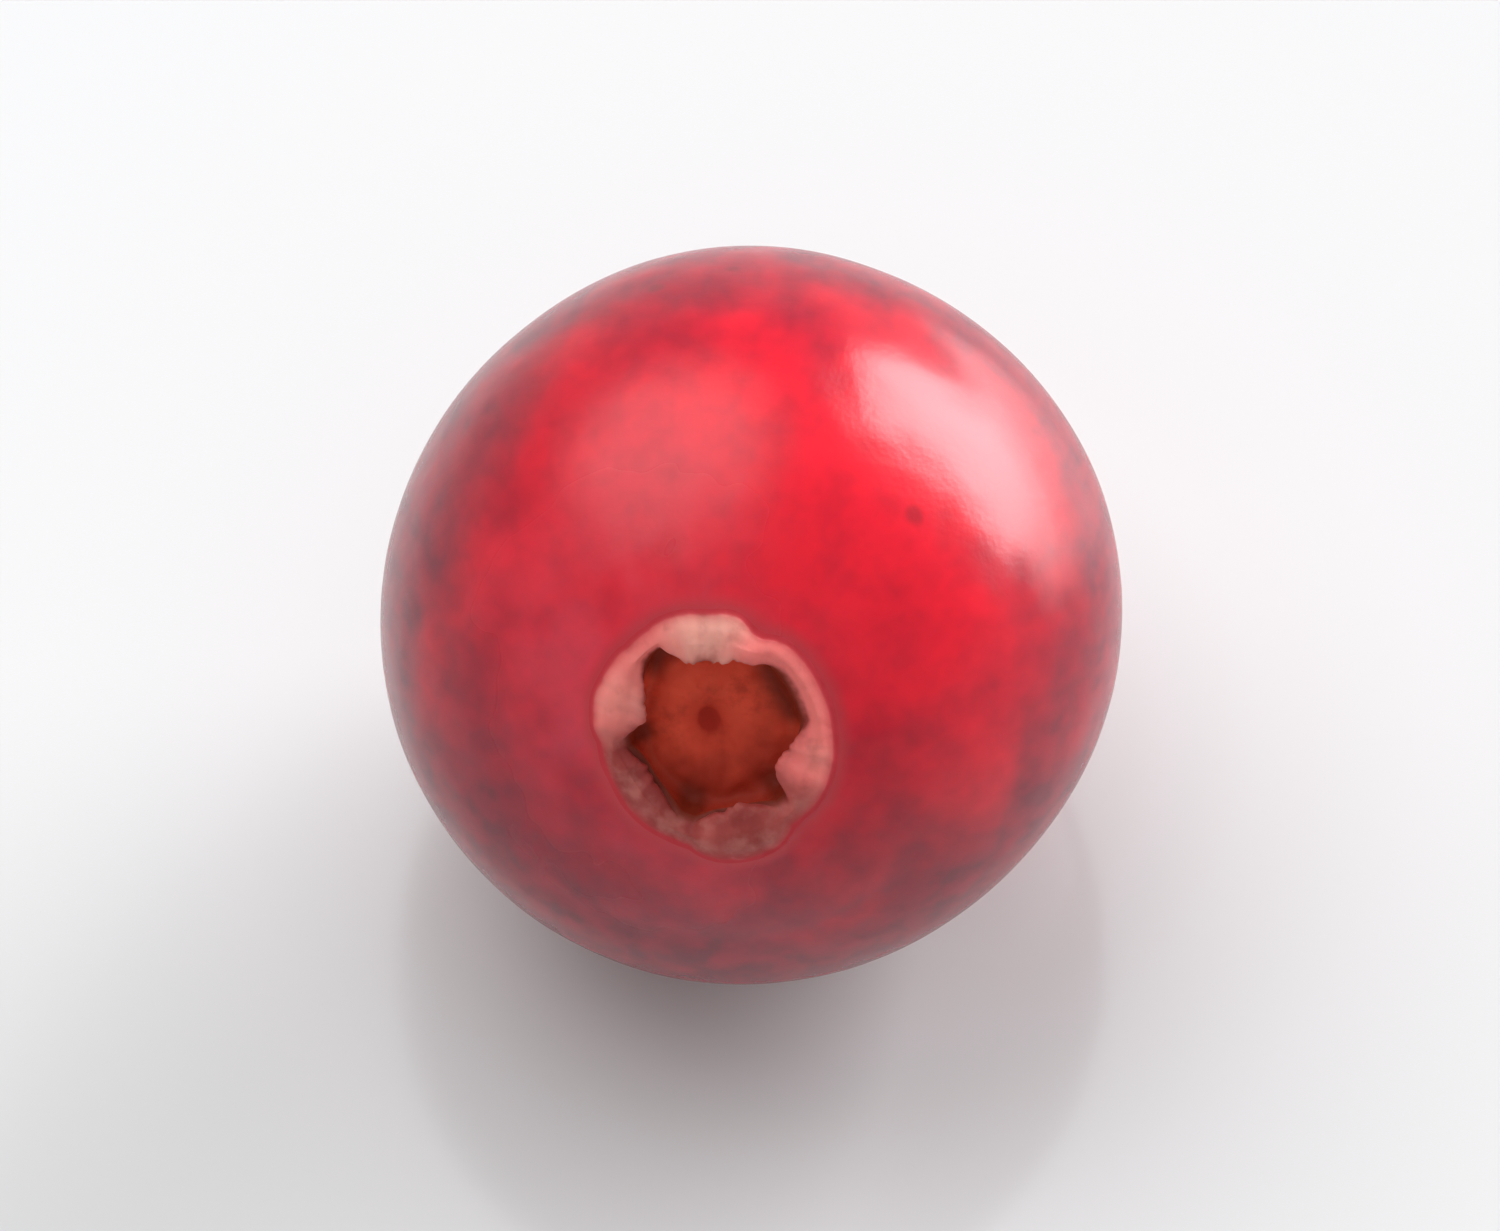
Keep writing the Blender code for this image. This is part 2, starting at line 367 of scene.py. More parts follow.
# %% [markdown]
# ## One smooth line
#
# Straight lines from station to station would show as corners. A Catmull-Rom
# curve runs through every station and turns smoothly on the way. The calyx and
# the stalk's end need it. The plain skin has rings enough as it is.

# %% A curve through the stations
RINGS_PER_SPAN = 5


def smooth_path(stations, steps):
    """Return points on a Catmull-Rom curve through the stations."""
    points = [stations[0], *stations, stations[-1]]
    path = [stations[0]]
    for index in range(1, len(points) - 2):
        before, start, end, after = points[index - 1:index + 3]
        for step in range(1, steps + 1):
            t = step / steps
            path.append(0.5 * (
                2 * start
                + (end - before) * t
                + (2 * before - 5 * start + 4 * end - after) * t ** 2
                + (3 * start - before - 3 * end + after) * t ** 3
            ))
    return path


print("points on the stalk's end:", len(smooth_path(stem_stations(), RINGS_PER_SPAN)))

# %% [markdown]
# Each point of the line keeps its place along it as a station number. Later
# that number says where one finish ends and the next begins.

# %% Join the three stretches
STEM_START = CALYX_SPANS + 1
STEM_SCAR_START = STEM_START + 2.5


def outline(lobe, share, angle):
    """Return (point, station) pairs for one meridian, calyx first."""
    body = body_stations()
    calyx = smooth_path(calyx_stations(lobe, share, angle), RINGS_PER_SPAN)
    stem = smooth_path([body[-1], *stem_stations()], RINGS_PER_SPAN)[1:]
    rows = [(point, index / RINGS_PER_SPAN) for index, point in enumerate(calyx)]
    rows += [
        (point, CALYX_SPANS + (index + 1) / BODY_RINGS)
        for index, point in enumerate(body)
    ]
    rows += [
        (point, STEM_START + (index + 1) / RINGS_PER_SPAN)
        for index, point in enumerate(stem)
    ]
    return rows


print("points along one slice:", len(outline(LOBES[0], 1.0, 0.0)))

# %% [markdown]
# ## Turn the line round
#
# A lathe would put each point at its radius and angle. Here the fruit's uneven
# growth comes on top: slow swellings round its waist, a calyx that is oval and
# drawn out to one side, and the style's scar a little off its middle.

# %% Place a point in space
# A share of the width, how often it comes round, and where it is highest
SWELLINGS = (
    (0.008, 2, math.radians(35)),
    (0.004, 3, math.radians(110)),
    (0.003, 4, math.radians(10)),
)
CALYX_OVAL, CALYX_STRETCH = 0.06, 0.14
CALYX_STRETCH_TOWARDS = math.radians(285)
CALYX_REACH = 1.6 * CALYX_EDGE
STYLE_DRIFT = 0.27 * MM
STYLE_DRIFT_TOWARDS = math.radians(213)


def surface_point(radius, height, angle):
    """Return a point of the skin, with the fruit's uneven growth in it."""
    bulge = radius / (WIDTH / 2)
    swell = 1.0
    drift = 0.0
    for share, times, highest in SWELLINGS:
        swell += share * bulge ** 2 * math.cos(times * (angle - highest))
    if height > 0:
        near_calyx = max(0.0, 1 - radius / CALYX_REACH)
        turn = angle - CALYX_STRETCH_TOWARDS
        swell += CALYX_STRETCH * near_calyx * math.cos(turn)
        swell += CALYX_OVAL * near_calyx * math.cos(2 * turn)
        drift = STYLE_DRIFT * max(0.0, 1 - radius / BASIN_RADIUS)
    return Vector((
        radius * swell * math.cos(angle) + drift * math.cos(STYLE_DRIFT_TOWARDS),
        radius * swell * math.sin(angle) + drift * math.sin(STYLE_DRIFT_TOWARDS),
        height,
    ))


waist = [surface_point(WIDTH / 2, 0, math.radians(turn)).length / MM for turn in range(360)]
print(f"radius round the waist, mm: {min(waist):.2f} to {max(waist):.2f}")

# %% [markdown]
# ## Facts that the finishes need
#
# A material can read what the mesh stores at each point. This one stores its
# station, its distance from the collar in millimetres, how creamy, how brown and
# how much of a lobe the calyx is there, and its place in the growing fruit. That
# place is shortened from end to end, so spots drawn with it come out as streaks.
# Cream and brown go their own way round the calyx, so they are soft spots too.
# The brown on the lower lobes is partly dry tissue and partly painted shade.

# %% A point with its facts
CREAM_SPOTS = ((92, 26, 0.9), (160, 20, 0.5), (350, 18, 0.25))
# Brown on the lower lobes: partly dry tissue, partly painted shade
BROWN_AND_SHADE_SPOTS = ((210, 24, 1.0), (250, 18, 0.9), (290, 26, 0.9), (320, 15, 0.45))
STREAK_SHORTENING = 0.35

berry = bmesh.new()
STATION = berry.verts.layers.float.new("station")
FROM_COLLAR = berry.verts.layers.float.new("from_collar")
CREAMY = berry.verts.layers.float.new("cream")
BROWN_AND_SHADE_LAYER = berry.verts.layers.float.new("brown")
FLAP = berry.verts.layers.float.new("flap")
GROWTH = berry.verts.layers.float_vector.new("growth")


def add_point(point, station, angle, share):
    """Add one point of the berry, with the facts that materials read."""
    vert = berry.verts.new(surface_point(point.x, point.y, angle))
    edge = COLLAR_RADIUS + COLLAR_EDGE
    along = math.atan2(point.x, point.y) * WIDTH / 2
    vert[STATION] = station
    vert[FROM_COLLAR] = max(0.0, along - edge) / MM
    vert[CREAMY] = spots(angle, CREAM_SPOTS)
    vert[BROWN_AND_SHADE_LAYER] = spots(angle, BROWN_AND_SHADE_SPOTS)
    vert[FLAP] = share
    vert[GROWTH] = Vector((vert.co.x, vert.co.y, STREAK_SHORTENING * vert.co.z))
    return vert


print("facts at each point:", ", ".join(berry.verts.layers.float.keys()), "and growth")

# %% [markdown]
# ## One mesh, laid out in rings
#
# Rings and meridians give clean four-sided faces, on which the gloss runs
# without a ripple. Only the two ends close with triangles.

# %% Lay out the rings
columns = []
for angle, lobe, share in meridians():
    rows = outline(lobe, share, angle)
    columns.append([
        add_point(point, station, angle, share) for point, station in rows[1:-1]
    ])
calyx_middle = add_point(*rows[0], 0.0, 0.0)
stem_middle = add_point(*rows[-1], 0.0, 0.0)

for here, there in zip(columns, columns[1:] + columns[:1]):
    berry.faces.new((calyx_middle, here[0], there[0]))
    for ring in range(len(here) - 1):
        berry.faces.new((here[ring], here[ring + 1], there[ring + 1], there[ring]))
    berry.faces.new((here[-1], stem_middle, there[-1]))
print("faces in the berry:", len(berry.faces))

# %% [markdown]
# ## Fine relief
#
# A real skin isn't turned on a lathe. It has slow dents a few millimetres
# long, faint creases that run into the collar, crinkles and folds on the drying
# lobes, and a grainy lining in the basin, with rays that run out from its
# middle. Each is a smooth noise of its own size in millimetres, and moves the
# points along their normals. On the gloss the noise has to be a very smooth
# one, or its grid shows in the reflections.

# %% Height and size of each relief
GRAIN_HEIGHT, GRAIN_SIZE = 0.045 * MM, 0.30 * MM
RAY_HEIGHT, RAY_LENGTH = 0.040 * MM, 0.8 * MM
RAY_START, RAY_FULL = 0.2 * MM, 1.1 * MM
CRINKLE_HEIGHT, CRINKLE_SIZE = 0.045 * MM, 0.55 * MM
FOLD_HEIGHT, FOLD_LENGTH = 0.045 * MM, 1.5 * MM
# How much of the crinkles and folds a bare notch has
NOTCH_CRINKLE = 0.4
DENT_HEIGHT, DENT_SIZE = 0.045 * MM, 4.5 * MM
RIPPLE_HEIGHT, RIPPLE_SIZE = 0.007 * MM, 1.4 * MM
CREASE_HEIGHT, CREASE_LENGTH = 0.040 * MM, 20.0 * MM
CREASES_ROUND = 7
CREASE_END = 2.2 * COLLAR_RADIUS
CORK_HEIGHT, CORK_SIZE = 0.020 * MM, 0.25 * MM


def ramp(low, high, value):
    """Return a smooth step from 0 at low to 1 at high."""
    share = min(1.0, max(0.0, (value - low) / (high - low)))
    return share * share * (3 - 2 * share)


def bumps(place, size, seed):
    """Return a very smooth noise from -1 to 1 whose features are size wide."""
    return noise.noise(place / size + Vector((seed, 0.0, 0.0)), noise_basis="PERLIN_NEW")


print(f"relief from {RIPPLE_HEIGHT / MM:.3f} to {DENT_HEIGHT / MM:.3f} mm high")

# %% [markdown]
# Each relief has its own stretch of the outline. The station number says which
# stretch a point is in, and a smooth ramp fades one relief into the next.

# %% Push the points in and out


def relief(vert):
    """Return how far one point is moved along its normal, in metres."""
    place = vert.co
    station = vert[STATION]
    angle = math.atan2(place.y, place.x)
    out = Vector((place.x, place.y, 0.0)).length

    lining = 1 - ramp(LOBE_ROOT - 1.5, LOBE_ROOT, station)
    lobes = ramp(LOBE_ROOT - 0.5, LOBE_ROOT + 1, station)
    lobes *= 1 - ramp(LOBE_FOOT - 1, LOBE_FOOT, station)
    lobes *= NOTCH_CRINKLE + (1 - NOTCH_CRINKLE) * vert[FLAP]
    plain = ramp(LOBE_FOOT - 0.5, LOBE_FOOT + 1, station)
    stalk = ramp(STEM_SCAR_START - 1, STEM_SCAR_START, station)

    grain = lining * GRAIN_HEIGHT * bumps(place, GRAIN_SIZE, seed=11.0)
    rays = lining * ramp(RAY_START, RAY_FULL, out)
    rays *= RAY_HEIGHT * wobble(angle, 6.0, seed=out / RAY_LENGTH)
    crinkle = lobes * CRINKLE_HEIGHT * bumps(place, CRINKLE_SIZE, seed=23.0)
    folds = lobes * FOLD_HEIGHT * wobble(angle, 12.0, seed=out / FOLD_LENGTH)
    dents = plain * DENT_HEIGHT * bumps(place, DENT_SIZE, seed=37.0)
    ripples = plain * RIPPLE_HEIGHT * bumps(place, RIPPLE_SIZE, seed=31.0)
    near = 1 - ramp(COLLAR_RADIUS, CREASE_END, out) if place.z > 0 else 0.0
    around = Vector((math.cos(angle), math.sin(angle), out / CREASE_LENGTH))
    creases = plain * near * CREASE_HEIGHT * bumps(around, 1 / CREASES_ROUND, seed=53.0)
    cork = stalk * CORK_HEIGHT * bumps(place, CORK_SIZE, seed=41.0)
    return grain + rays + crinkle + folds + dents + ripples + creases + cork


berry.normal_update()
moves = [(vert, vert.normal * relief(vert)) for vert in berry.verts]
for vert, move in moves:
    vert.co += move
print("largest move of a point, mm:", round(max(m.length for _, m in moves) / MM, 3))

# %% [markdown]
# ## Lay the berry down
#
# The mesh was made with its calyx straight up, and the berry lies with it up and
# forward, a little to the left. Three directions at right angles say where its
# own sides go, and they are the columns of the matrix that turns it.

# %% Turn the berry
CALYX_RISE = math.radians(42.2)
CALYX_LEFT = math.radians(7.8)

level = math.cos(CALYX_RISE)
calyx_axis = Vector((
    -level * math.sin(CALYX_LEFT),
    -level * math.cos(CALYX_LEFT),
    math.sin(CALYX_RISE),
))
right = Vector((1, 0, 0))
right = (right - calyx_axis * right.dot(calyx_axis)).normalized()
turn = Matrix((right, calyx_axis.cross(right), calyx_axis)).transposed()
bmesh.ops.transform(berry, matrix=turn.to_4x4(), verts=berry.verts)
print("the calyx points towards", [round(value, 3) for value in calyx_axis])

# %% [markdown]
# It is then moved so that its box matches the solid berry's box: the same
# middle from side to side, and the same top. Last, the underside is pressed
# flat where it rests. A hard cut would show as an edge, so the press rounds off
# over a few hundredths of a millimetre.

# %% Place and press the berry
PRESS_ROUNDING = 0.02 * MM


def corners(points):
    """Return the lowest and highest corner of some points."""
    low = Vector([min(point[axis] for point in points) for axis in range(3)])
    high = Vector([max(point[axis] for point in points) for axis in range(3)])
    return low, high


def pressed(height):
    """Return a height kept above the floor, rounded where it meets it."""
    return 0.5 * (height + math.sqrt(height ** 2 + PRESS_ROUNDING ** 2))


solid_low, solid_high = (Vector(corner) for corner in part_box("cranberry"))
low, high = corners([vert.co for vert in berry.verts])
MIDDLE = (solid_low + solid_high - low - high) / 2
MIDDLE.z = solid_high.z - high.z
for vert in berry.verts:
    vert.co += MIDDLE
    vert.co.z = pressed(vert.co.z)
print("berry's middle, mm:", [round(value / MM, 3) for value in MIDDLE])

# %% [markdown]
# ## Make it an object
#
# The lining, the lobes and the skin are three finishes of one piece, so the
# mesh has three material slots and each face takes the slot of its station.
# The new piece rides on the part's only body and stands for the solid berry.

# %% Three finishes on one piece
SKIN_SLOT, LOBE_SLOT, SCAR_SLOT = range(3)


def slot_for(station):
    """Return the material slot for a face at this station."""
    if station < LOBE_ROOT or station > STEM_SCAR_START:
        return SCAR_SLOT
    if station < LOBE_FOOT:
        return LOBE_SLOT
    return SKIN_SLOT


for face in berry.faces:
    middle = sum(vert[STATION] for vert in face.verts) / len(face.verts)
    face.material_index = slot_for(middle)
    face.smooth = True

fruit_mesh = bpy.data.meshes.new("cranberry_fruit")
berry.to_mesh(fruit_mesh)
berry.free()
fruit = bpy.data.objects.new("cranberry_fruit", fruit_mesh)
bpy.context.scene.collection.objects.link(fruit)
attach(fruit, "root")
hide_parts("cranberry")
print("points in the berry:", len(fruit_mesh.vertices))

# %% [markdown]
# ## Tools for materials
#
# Colours are written as the hex values that a colour picker shows, and one
# function turns them into the linear values that Blender mixes.

# %% Colours


def linear(colour):
    """Return a hex sRGB colour as linear red, green, blue and alpha."""
    values = [int(colour[place:place + 2], 16) / 255 for place in (1, 3, 5)]
    toe = 0.04045
    lit = [
        value / 12.92 if value <= toe else ((value + 0.055) / 1.055) ** 2.4
        for value in values
    ]
    return (*lit, 1.0)


print("middle grey in linear light:", round(linear("#808080")[0], 3))

# %% [markdown]
# A material is a list of nodes and the links between them. One function adds a
# node with its settings and its links, so that each node is one statement.

# %% Nodes


def add(tree, kind, inputs=None, output=None, **settings):
    """Add a node: set its properties, then set or link its inputs.

    Return the output that is named or numbered, or else the node.
    """
    made = tree.nodes.new("ShaderNode" + kind)
    for name, value in settings.items():
        setattr(made, name, value)
    for name, value in (inputs or {}).items():
        if isinstance(value, bpy.types.NodeSocket):
            tree.links.new(value, made.inputs[name])
        else:
            made.inputs[name].default_value = value
    return made if output is None else made.outputs[output]


def new_material(name):
    """Return an empty material and its node tree."""
    material = bpy.data.materials.new(name)
    material.use_nodes = True
    material.node_tree.nodes.clear()
    return material, material.node_tree


print("tools for nodes:", add.__name__, new_material.__name__)

# %% [markdown]
# ## Painting in coats
#
# A fruit is coloured in coats: a ground colour, then stains, freckles and dry
# edges over it. Each coat has a colour and something that drives it, such as a
# noise or the distance from the collar. While the drive runs from low to high,
# the coat goes from its first strength to its last. A second share can keep it
# within a part of the surface.

# %% A coat of colour
# Sockets of the Mix node when it mixes colours
FACTOR, COLOUR_A, COLOUR_B, MIXED = 0, 6, 7, 2


def paint(tree, under, over, drive, low, high, first=0.0, last=1.0, within=None):
    """Paint one colour over another, as strong as the drive says."""
    share = add(tree, "MapRange", {
        "Value": drive, "From Min": low, "From Max": high,
        "To Min": first, "To Max": last,
    }, "Result", interpolation_type="SMOOTHSTEP")
    if within is not None:
        share = add(tree, "Math", {0: share, 1: within}, 0, operation="MULTIPLY")
    return add(tree, "Mix", {
        FACTOR: share, COLOUR_A: under, COLOUR_B: over,
    }, MIXED, data_type="RGBA")


print("sockets of a colour mix:", FACTOR, COLOUR_A, COLOUR_B, MIXED)

# %% [markdown]
# ## Cranberry skin
#
# The real skin is a waxed cuticle over cells full of red dye, grown tight over
# pale flesh. To the eye that means three things. The red is deep and uneven:
# painted darker towards the rim and the lower side as shade, with patches of two
# or three millimetres, short streaks from end to end, and a few small dark
# freckles.
# Light scatters under it, so shadows on the fruit are warm and soft. And the wax
# gives a clear gloss, dulled round the collar by a faint bloom that nothing has
# rubbed off.
#
# Noise is laid out in metres here, so its scale is one over the size of what it
# draws. Real pores are finer than 0.16 mm. They are drawn as coarse as they
# need to be to show.

# %% Skin colours and patterns
CHERRY = linear("#F0082A")
CRIMSON = linear("#800326")
GARNET = linear("#5A0418")
BLOOM = linear("#CC6478")
RIM = linear("#CC3440")

PATCH = 2.6 * MM
MOTTLE = 0.75 * MM
STREAK = 0.75 * MM
WAVE = 1.3 * MM
PORE = 0.16 * MM

skin, tree = new_material("Cranberry skin, waxed as it grew")
place = add(tree, "TexCoord", None, "Object")
fact = {
    name: add(tree, "Attribute", None, output, attribute_name=name)
    for name, output in (("station", "Fac"), ("from_collar", "Fac"), ("growth", "Vector"))
}
pattern = {
    name: add(tree, "TexNoise", {"Vector": where, "Scale": 1 / size, "Detail": detail}, "Fac")
    for name, where, size, detail in (
        ("patches", place, PATCH, 2.0),
        ("mottle", place, MOTTLE, 2.0),
        ("streaks", fact["growth"], STREAK, 2.0),
        ("waves", place, WAVE, 1.0),
        ("pores", place, PORE, 2.0),
    )
}
print("skin patterns:", ", ".join(pattern))

# %% [markdown]
# The skin is painted brightest on the side that faces the camera and the top,
# and darker towards the rim and the lower side. That darkening is painted shade.
# It is 0 where the skin is brightest. It starts from how far a point is towards
# the painted light side, with the patches, the skin's own uneven red, added so
# that the border isn't a straight line. Then the streaks and the mottling push it
# a little down where their noise is low, and up where it is high.

# %% Painted shade and ripeness
PAINTED_LIGHT_SIDE = Vector((0.04, -0.36, 0.93)).normalized()
PATCH_PUSH = 0.4 * WIDTH
FULL_DARKENING_BELOW, BRIGHT_START = 0.35 * WIDTH, 0.70 * WIDTH
MOST_DARKENING = 0.82
# Pattern, its low and its high noise, and the darkening added at each
PUSHES = (
    ("streaks", 0.30, 0.85, -0.04, 0.20),
    ("mottle", 0.25, 0.85, -0.04, 0.13),
)

centred = add(tree, "VectorMath", {0: place, 1: MIDDLE}, "Vector", operation="SUBTRACT")
toward_painted_light = add(tree, "VectorMath", {0: centred, 1: PAINTED_LIGHT_SIDE}, "Value",
             operation="DOT_PRODUCT")
patchy = add(tree, "Math", {0: pattern["patches"], 1: PATCH_PUSH, 2: toward_painted_light}, 0,
             operation="MULTIPLY_ADD")
# Painted shade: the red darkens away from the side that faces the camera and the top
shade_and_ripeness = add(tree, "MapRange", {
    "Value": patchy, "From Min": FULL_DARKENING_BELOW, "From Max": BRIGHT_START,
    "To Min": MOST_DARKENING, "To Max": 0.0,
}, "Result", interpolation_type="SMOOTHSTEP")
for name, low, high, least, most in PUSHES:
    push = add(tree, "MapRange", {
        "Value": pattern[name], "From Min": low, "From Max": high,
        "To Min": least, "To Max": most,
    }, "Result", interpolation_type="SMOOTHSTEP")
    shade_and_ripeness = add(tree, "Math", {0: shade_and_ripeness, 1: push}, 0, operation="ADD", use_clamp=True)
red = add(tree, "Mix", {
    FACTOR: shade_and_ripeness, COLOUR_A: CHERRY, COLOUR_B: CRIMSON,
}, MIXED, data_type="RGBA")
print("nodes up to the ripe red:", len(tree.nodes))

# %% [markdown]
# Freckles are small corky spots. Voronoi cells scatter them, and each cell's
# random colour gives its freckle a size, which for nearly half the cells is
# none. The mottling makes their edges ragged.

# %% Freckles
FRECKLE_SPACING = 1.9 * MM
FRECKLE_CHANCE = 0.45
FRECKLE_STRENGTH = 0.4
# As shares of the spacing
FRECKLE_MOST, FRECKLE_RAGGED, FRECKLE_FADE = 0.15, 0.16, 0.12

cells = add(tree, "TexVoronoi", {"Vector": place, "Scale": 1 / FRECKLE_SPACING})
chance = add(tree, "SeparateColor", {"Color": cells.outputs["Color"]}, "Red")
freckle = add(tree, "MapRange", {
    "Value": chance, "From Min": FRECKLE_CHANCE, "From Max": 1.0,
    "To Min": 0.0, "To Max": FRECKLE_MOST,
}, "Result", interpolation_type="SMOOTHSTEP")
ragged = add(tree, "Math", {
    0: pattern["mottle"], 1: FRECKLE_RAGGED, 2: cells.outputs["Distance"],
}, 0, operation="MULTIPLY_ADD")
beyond = add(tree, "Math", {0: ragged, 1: freckle}, 0, operation="SUBTRACT")
red = paint(tree, red, GARNET, beyond, 0.0, FRECKLE_FADE, FRECKLE_STRENGTH, 0.0)
print("nodes with the freckles:", len(tree.nodes))

# %% [markdown]
# The bloom is a film of fine wax grains, palest by the collar. It is thinner in
# some patches, and on the right it was rubbed off, so it is the product of three
# shares. Right against the lobes the skin is a paler pink.

# %% Bloom
BLOOM_MOST, BLOOM_LEFT_OVER = 0.36, 0.10
# Millimetres from the collar
FADE_START, FADE_END = 0.2, 5.5
RUB_START, RUB_END = -0.35 * WIDTH, 0.20 * WIDTH

rightwards = add(tree, "SeparateXYZ", {"Vector": centred}, "X")
bloom = 1.0
for drive, low, high, first, last in (
    (fact["from_collar"], FADE_START, FADE_END, BLOOM_MOST, 0.0),
    (pattern["patches"], 0.35, 0.65, 0.25, 1.0),
    (rightwards, RUB_START, RUB_END, 1.0, BLOOM_LEFT_OVER),
):
    share = add(tree, "MapRange", {
        "Value": drive, "From Min": low, "From Max": high,
        "To Min": first, "To Max": last,
    }, "Result", interpolation_type="SMOOTHSTEP")
    bloom = add(tree, "Math", {0: bloom, 1: share}, 0, operation="MULTIPLY")
red = add(tree, "Mix", {
    FACTOR: bloom, COLOUR_A: red, COLOUR_B: BLOOM,
}, MIXED, data_type="RGBA")
red = paint(tree, red, RIM, fact["station"], LOBE_FOOT, LOBE_FOOT + 0.5, 1.0, 0.0)
print("nodes with the bloom:", len(tree.nodes))

# %% [markdown]
# Plant wax has an IOR of 1.45 to 1.5, and on a berry it is smooth, with a
# roughness of about 0.25. The bloom dulls it. Waves of a few hundredths of a
# millimetre bend the reflections, and faint pores break them up. Under the wax,
# light scatters about a millimetre for red and far less for green and blue.

# %% Gloss and scatter
SKIN_IOR = 1.49
SMOOTH_WAX, DULLED_WAX = 0.25, 0.42
FULL_BLOOM = 0.45
WAVE_HEIGHT = 0.03 * MM
PORE_DEPTH = 0.05 * MM
PORE_STRENGTH = 0.08
SKIN_SCATTER = (1.0, 0.22, 0.14)
SKIN_SCATTER_DEPTH = 0.9 * MM

roughness = add(tree, "MapRange", {
    "Value": bloom, "From Max": FULL_BLOOM, "To Min": SMOOTH_WAX, "To Max": DULLED_WAX,
}, "Result")
waved = add(tree, "Bump", {
    "Height": pattern["waves"], "Strength": 1.0, "Distance": WAVE_HEIGHT,
}, "Normal")
pored = add(tree, "Bump", {
    "Height": pattern["pores"], "Strength": PORE_STRENGTH, "Distance": PORE_DEPTH,
    "Normal": waved,
}, "Normal")
shader = add(tree, "BsdfPrincipled", {
    "Base Color": red, "Roughness": roughness, "IOR": SKIN_IOR, "Normal": pored,
    "Subsurface Weight": 0.5, "Subsurface Radius": SKIN_SCATTER,
    "Subsurface Scale": SKIN_SCATTER_DEPTH,
}, "BSDF")
add(tree, "OutputMaterial", {"Surface": shader})
print("skin nodes:", len(tree.nodes))

# %% [markdown]
# ## Calyx lobes
#
# The lobes are what is left of the flower. They were green flesh, and on a ripe
# berry they are cream to salmon pink, thick at the root and drying to brown at
# the edge. The lowest ones are browner: partly dried right through, with pale
# veins showing in them, and partly painted shade. They are dull, so they catch
# light evenly, and they scatter it as the flesh does.
#
# Two sums decide the ground colour: a slow tint noise with the stored cream
# spots, and the same noise with the brown spots. The fibres are a noise drawn
# in the growing fruit, so they run outwards.

# %% Lobe colours and patterns
CREAM = linear("#F0A898")
SALMON = linear("#FA827C")
DRY = linear("#9C3C38")
VEIN = linear("#D88A80")
WALL_RUST = linear("#80301F")

TINT = 1.2 * MM
TINT_PUSH = 0.8
FIBRE = 0.5 * MM
CRUST = 0.22 * MM

lobe_skin, tree = new_material("Calyx lobes, fleshy and drying at the edge")
place = add(tree, "TexCoord", None, "Object")
fact = {
    name: add(tree, "Attribute", None, output, attribute_name=name)
    for name, output in (
        ("station", "Fac"), ("cream", "Fac"), ("brown", "Fac"), ("growth", "Vector"),
    )
}
pattern = {
    name: add(tree, "TexNoise", {"Vector": where, "Scale": 1 / size, "Detail": detail}, "Fac")
    for name, where, size, detail in (
        ("tint", place, TINT, 2.0),
        ("fibres", fact["growth"], FIBRE, 3.0),
        ("crust", place, CRUST, 3.0),
    )
}
pale, dry_and_shade = (
    add(tree, "Math", {0: pattern["tint"], 1: TINT_PUSH, 2: fact[name]}, 0,
        operation="MULTIPLY_ADD")
    for name in ("cream", "brown")
)
print("lobe patterns:", ", ".join(pattern))

# %% [markdown]
# The coats go on from the flesh outwards: the cream, the fibres, the brown of
# what dried through, which on the lower lobes is partly painted shade, and its
# veins, and the pink where the lobe grows out of the skin. The dry edge and the
# rust of the wall come last, so that they cover the rest at the tip and on the
# underside.

# %% Paint the lobes
DRY_AND_SHADE_START, DRY_AND_SHADE_END, MOST_DRY_AND_SHADE = 0.50, 1.30, 0.95
# Stations past the tip where the dry edge starts to fade and where it is gone
EDGE_START, EDGE_END = 0.2, 2.0

flesh = paint(tree, SALMON, CREAM, pale, 0.50, 1.35)
flesh = paint(tree, flesh, DRY, pattern["fibres"], 0.50, 0.80, 0.0, 0.35)
# Brown where the lobe dried through, and painted shade on the lower lobes
dried = add(tree, "MapRange", {
    "Value": dry_and_shade, "From Min": DRY_AND_SHADE_START, "From Max": DRY_AND_SHADE_END,
    "To Min": 0.0, "To Max": MOST_DRY_AND_SHADE,
}, "Result", interpolation_type="SMOOTHSTEP")
flesh = add(tree, "Mix", {
    FACTOR: dried, COLOUR_A: flesh, COLOUR_B: DRY,
}, MIXED, data_type="RGBA")
flesh = paint(tree, flesh, VEIN, pattern["fibres"], 0.28, 0.58, 0.50, 0.0, within=dried)
flesh = paint(tree, flesh, RIM, fact["station"], LOBE_FOOT - 1.8, LOBE_FOOT)
by_edge = add(tree, "MapRange", {
    "Value": fact["station"], "From Min": LOBE_TIP + EDGE_START,
    "From Max": LOBE_TIP + EDGE_END, "To Min": 1.0, "To Max": 0.0,
}, "Result", interpolation_type="SMOOTHSTEP")
flesh = paint(tree, flesh, DRY, pattern["fibres"], 0.3, 0.7, 0.2, 1.0, within=by_edge)
flesh = paint(tree, flesh, WALL_RUST, fact["station"], LOBE_ROOT, LOBE_TIP + 0.6, 1.0, 0.0)
print("nodes up to the painted flesh:", len(tree.nodes))

# %% [markdown]
# Watery plant flesh has an IOR of about 1.4. A dry surface like this one is
# rough at every scale, so it also gets less shine than its IOR would give.

# %% Dull the lobes
FLESH_IOR = 1.42
LOBE_ROUGHNESS = 0.55
LOBE_SHINE = 0.3
CRUST_HEIGHT = 0.05 * MM
CRUST_STRENGTH = 0.35
LOBE_SCATTER = (1.0, 0.45, 0.3)
LOBE_SCATTER_DEPTH = 0.4 * MM

